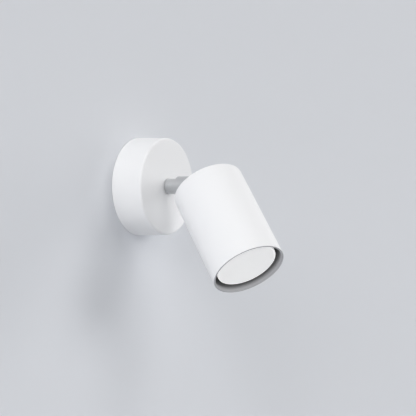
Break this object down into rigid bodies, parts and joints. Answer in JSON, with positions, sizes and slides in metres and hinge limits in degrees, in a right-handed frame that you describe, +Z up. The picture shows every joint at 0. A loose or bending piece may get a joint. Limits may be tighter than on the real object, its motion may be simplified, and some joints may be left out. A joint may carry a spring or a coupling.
{
  "type": "pivoting spotlight wall light",
  "caption": "Wall spotlight: a round surface rose, a stem that swivels in its face, a fork-and-tongue tilt joint and a cylindrical head with a recessed twist-lock lamp.",
  "frame": {"origin": "centre of the wall plate's slot pattern, on the mounting face that lies on the wall", "axes": "+Z up, -Y straight out of the wall along the swivel axis, +X to the right as seen from the room"},
  "size_m": [0.0929, 0.1437, 0.1275],
  "materials": {
    "white_coat": "matt white powder coat on aluminium",
    "satin_nickel": "satin nickel",
    "zinc_steel": "bright zinc on pressed or turned steel",
    "brass": "plain turned brass",
    "tinned_metal": "tinned sheet",
    "dark_fibre": "matt dark fibre",
    "nylon": "natural nylon",
    "terminal_plastic": "moulded polyamide",
    "ceramic": "unglazed pale ceramic",
    "lead_sleeve": "silicone insulation in three colours",
    "lamp_plastic": "white moulded plastic",
    "frosted_diffuser": "frosted white diffuser"
  },
  "bodies": {
    "wall_base": {"wall_plate": "zinc_steel", "rose_cover": "white_coat", "cover_screws": "zinc_steel", "terminal_block": "terminal_plastic", "terminal_barrels": "brass", "terminal_screws": "zinc_steel", "block_screw": "zinc_steel", "earth_screw": "brass", "earth_tag": "tinned_metal", "rose_leads": "lead_sleeve"},
    "stem": {"swivel_stem": "satin_nickel", "face_washer": "dark_fibre", "friction_washer": "nylon", "stop_washer": "zinc_steel", "spring_washer": "zinc_steel", "swivel_nut": "zinc_steel", "stem_leads": "lead_sleeve", "knuckle_fork": "satin_nickel", "pivot_screw": "satin_nickel", "pivot_nut": "satin_nickel", "pivot_washers": "nylon"},
    "head": {"knuckle_tongue": "satin_nickel", "lock_washer": "zinc_steel", "tongue_nut": "zinc_steel", "head_shell": "white_coat", "holder_bracket": "zinc_steel", "lampholder": "ceramic", "holder_screws": "zinc_steel", "holder_contacts": "brass", "head_earth_screw": "brass", "head_earth_tag": "tinned_metal", "head_leads": "lead_sleeve"},
    "lamp": {"lamp_housing": "lamp_plastic", "lamp_diffuser": "frosted_diffuser", "lamp_pins": "brass"}
  },
  "joints": [
    {"name": "swivel", "type": "hinge", "parent": "wall_base", "child": "stem", "pos_m": [0, -0.0286, 0], "axis": [0, -1, 0], "range_deg": [-146.5, 183.5]},
    {"name": "tilt", "type": "hinge", "parent": "stem", "child": "head", "pos_m": [0, -0.0524, 0], "axis": [0.9483, 0, -0.3173], "range_deg": [-53.4, 36.6]},
    {"name": "lamp_twist", "type": "hinge", "parent": "head", "child": "lamp", "pos_m": [-0.00029, -0.06828, -0.00087], "axis": [-0.2547, -0.5962, -0.7613], "range_deg": [0, 35]}
  ]
}
